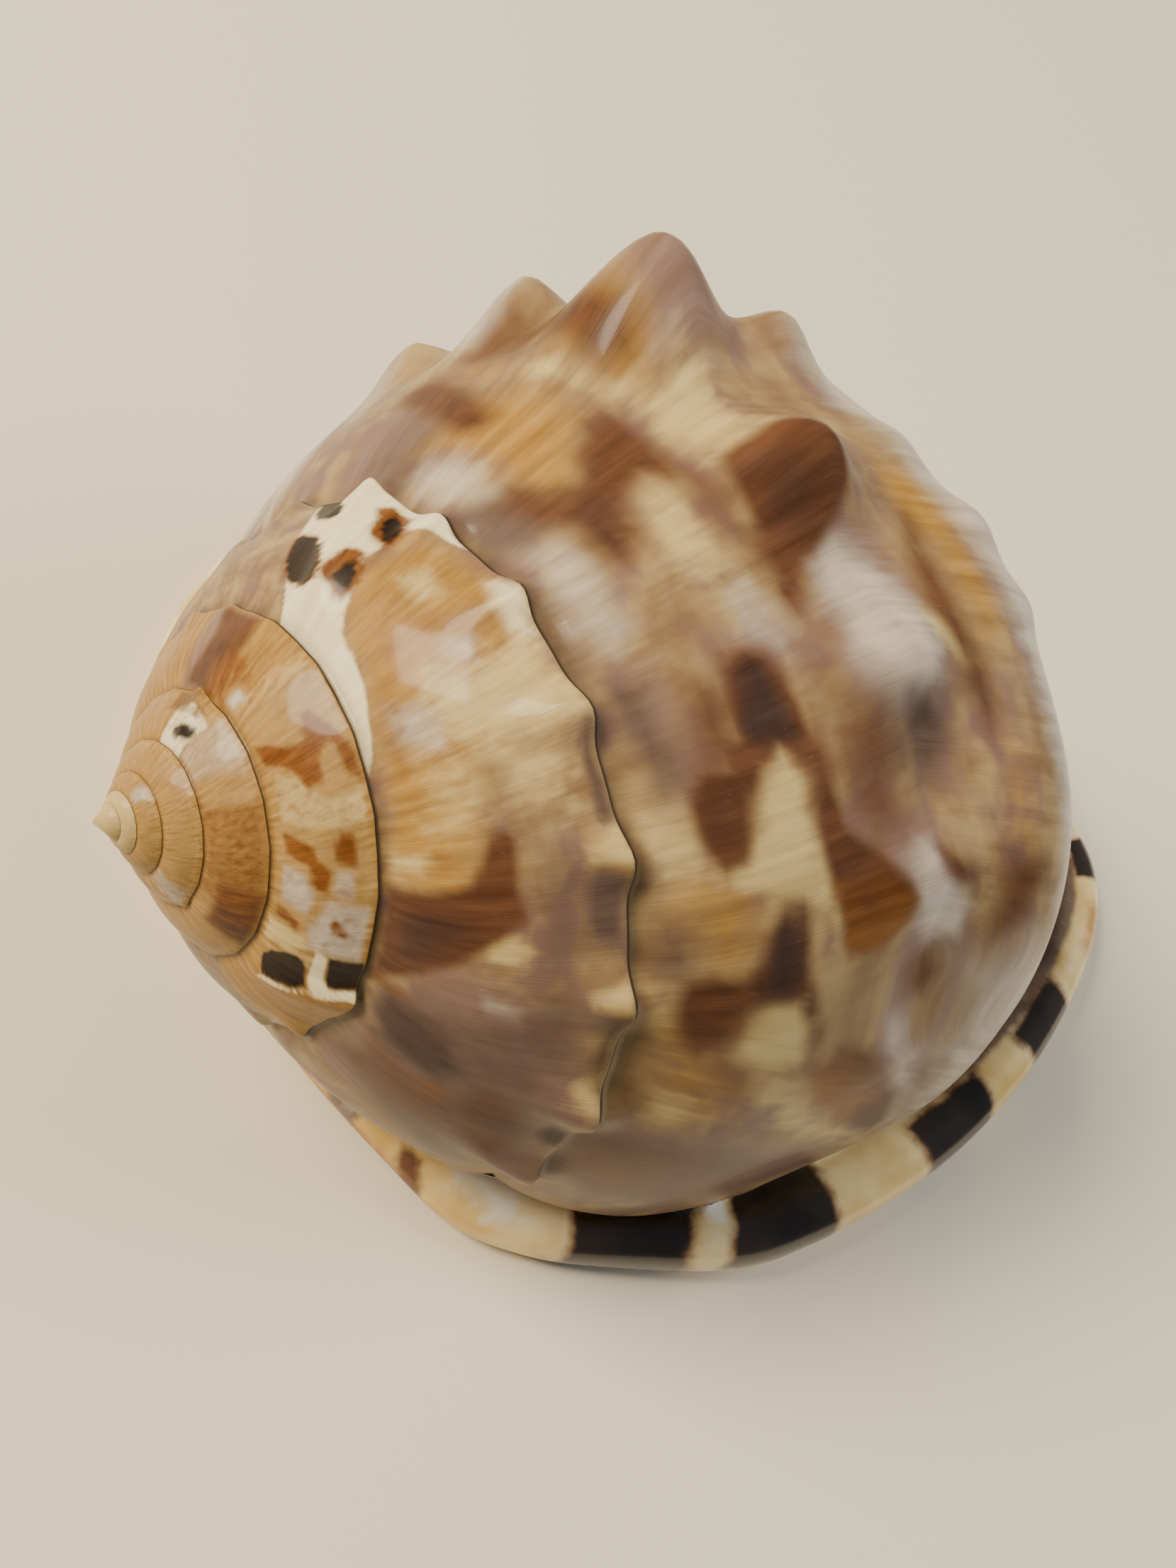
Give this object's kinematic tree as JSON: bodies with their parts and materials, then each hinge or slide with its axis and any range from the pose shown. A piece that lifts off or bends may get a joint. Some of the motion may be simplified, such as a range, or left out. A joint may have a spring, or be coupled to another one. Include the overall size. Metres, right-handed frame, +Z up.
{
  "type": "helmet seashell",
  "caption": "Knobbed dextral helmet seashell lying on its rolled outer lip and broad shield, with a toothed aperture slit below and a short bent siphonal canal.",
  "frame": {"origin": "Centre of the bounding box in plan, at the plane that the lip and the shield rest on.", "axes": "+Z up from the resting plane. +X from the apex toward the siphonal canal, the longest way. +Y away from the outer lip, which is on the -Y side."},
  "size_m": [0.121, 0.0984, 0.0678],
  "materials": {
    "shell": "glossy"
  },
  "bodies": {
    "root": {"shell": "shell"}
  },
  "joints": []
}
